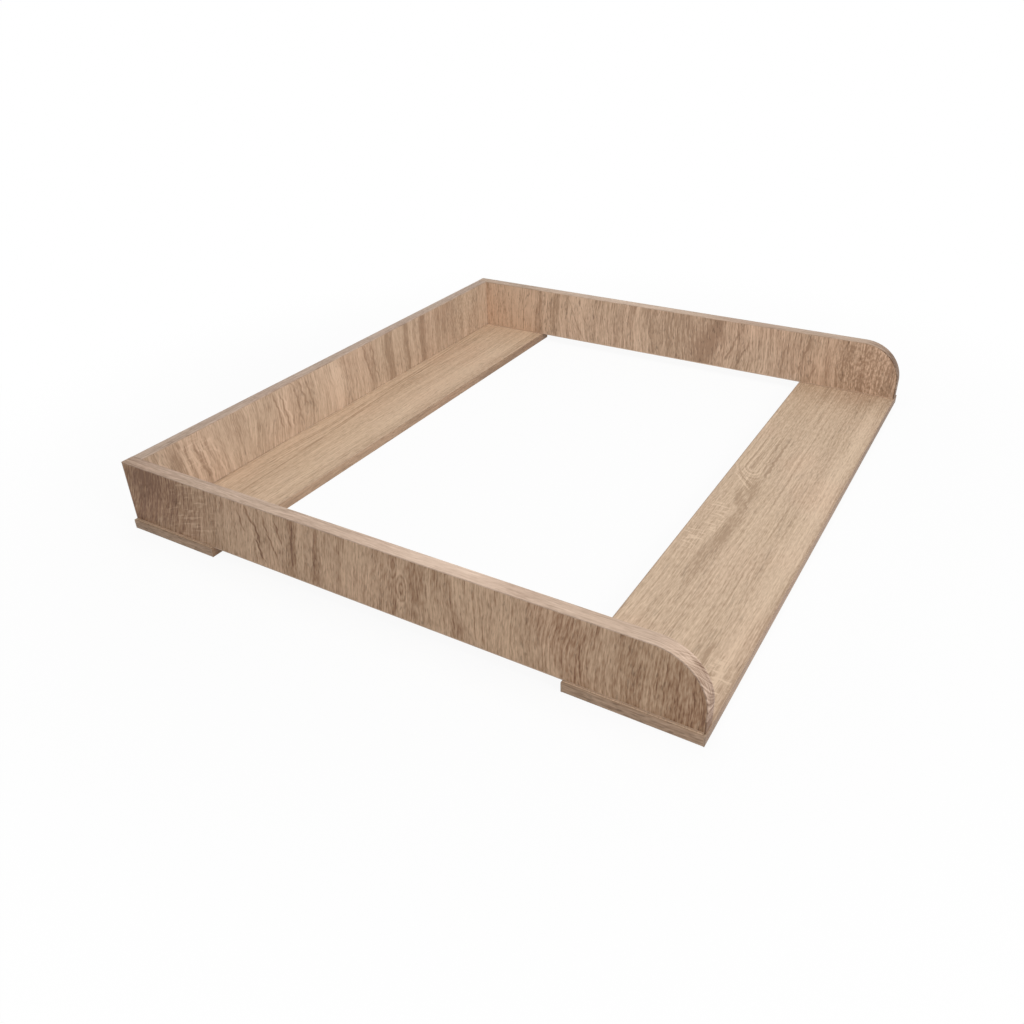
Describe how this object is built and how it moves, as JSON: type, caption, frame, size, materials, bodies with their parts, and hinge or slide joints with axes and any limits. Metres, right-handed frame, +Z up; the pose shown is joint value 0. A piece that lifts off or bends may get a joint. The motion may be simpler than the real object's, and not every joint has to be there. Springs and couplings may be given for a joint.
{
  "type": "changing top tray",
  "caption": "Open-middle changing top for a chest of drawers: two base boards carry two round-cornered side panels and a back panel, in light oak decor.",
  "frame": {"origin": "on the ground plane, at the middle of the tray's width and depth", "axes": "+X to the right as seen from the front, where the parent stands; +Y to the rear, towards the back panel; +Z up"},
  "size_m": [0.8, 0.732, 0.091],
  "materials": {
    "base_decor": "matt melamine in light oak decor, grain across the width",
    "panel_decor": "matt melamine in light oak decor, grain upright",
    "edge_band": "matt plastic edge band in oak decor",
    "zinc_steel": "zinc plated",
    "beech": "raw beech"
  },
  "bodies": {
    "root": {"back_dowel_1": "beech", "back_dowel_2": "beech", "back_panel": "panel_decor", "back_screw_1": "zinc_steel", "back_screw_2": "zinc_steel", "back_screw_3": "zinc_steel", "back_top_band": "edge_band", "front_base_board": "base_decor", "front_base_front_band": "edge_band", "front_base_left_band": "edge_band", "front_base_rear_band": "edge_band", "front_base_right_band": "edge_band", "front_left_dowel": "beech", "front_left_screw_1": "zinc_steel", "front_left_screw_2": "zinc_steel", "front_right_dowel": "beech", "front_right_screw_1": "zinc_steel", "front_right_screw_2": "zinc_steel", "left_corner_dowel_1": "beech", "left_corner_dowel_2": "beech", "left_side_bottom_band": "edge_band", "left_side_panel": "panel_decor", "left_side_rear_band": "edge_band", "left_side_top_band": "edge_band", "rear_base_board": "base_decor", "rear_base_front_band": "edge_band", "rear_base_left_band": "edge_band", "rear_base_rear_band": "edge_band", "rear_base_right_band": "edge_band", "rear_left_dowel": "beech", "rear_left_screw_1": "zinc_steel", "rear_left_screw_2": "zinc_steel", "rear_right_dowel": "beech", "rear_right_screw_1": "zinc_steel", "rear_right_screw_2": "zinc_steel", "right_corner_dowel_1": "beech", "right_corner_dowel_2": "beech", "right_side_bottom_band": "edge_band", "right_side_panel": "panel_decor", "right_side_rear_band": "edge_band", "right_side_top_band": "edge_band"}
  },
  "joints": []
}
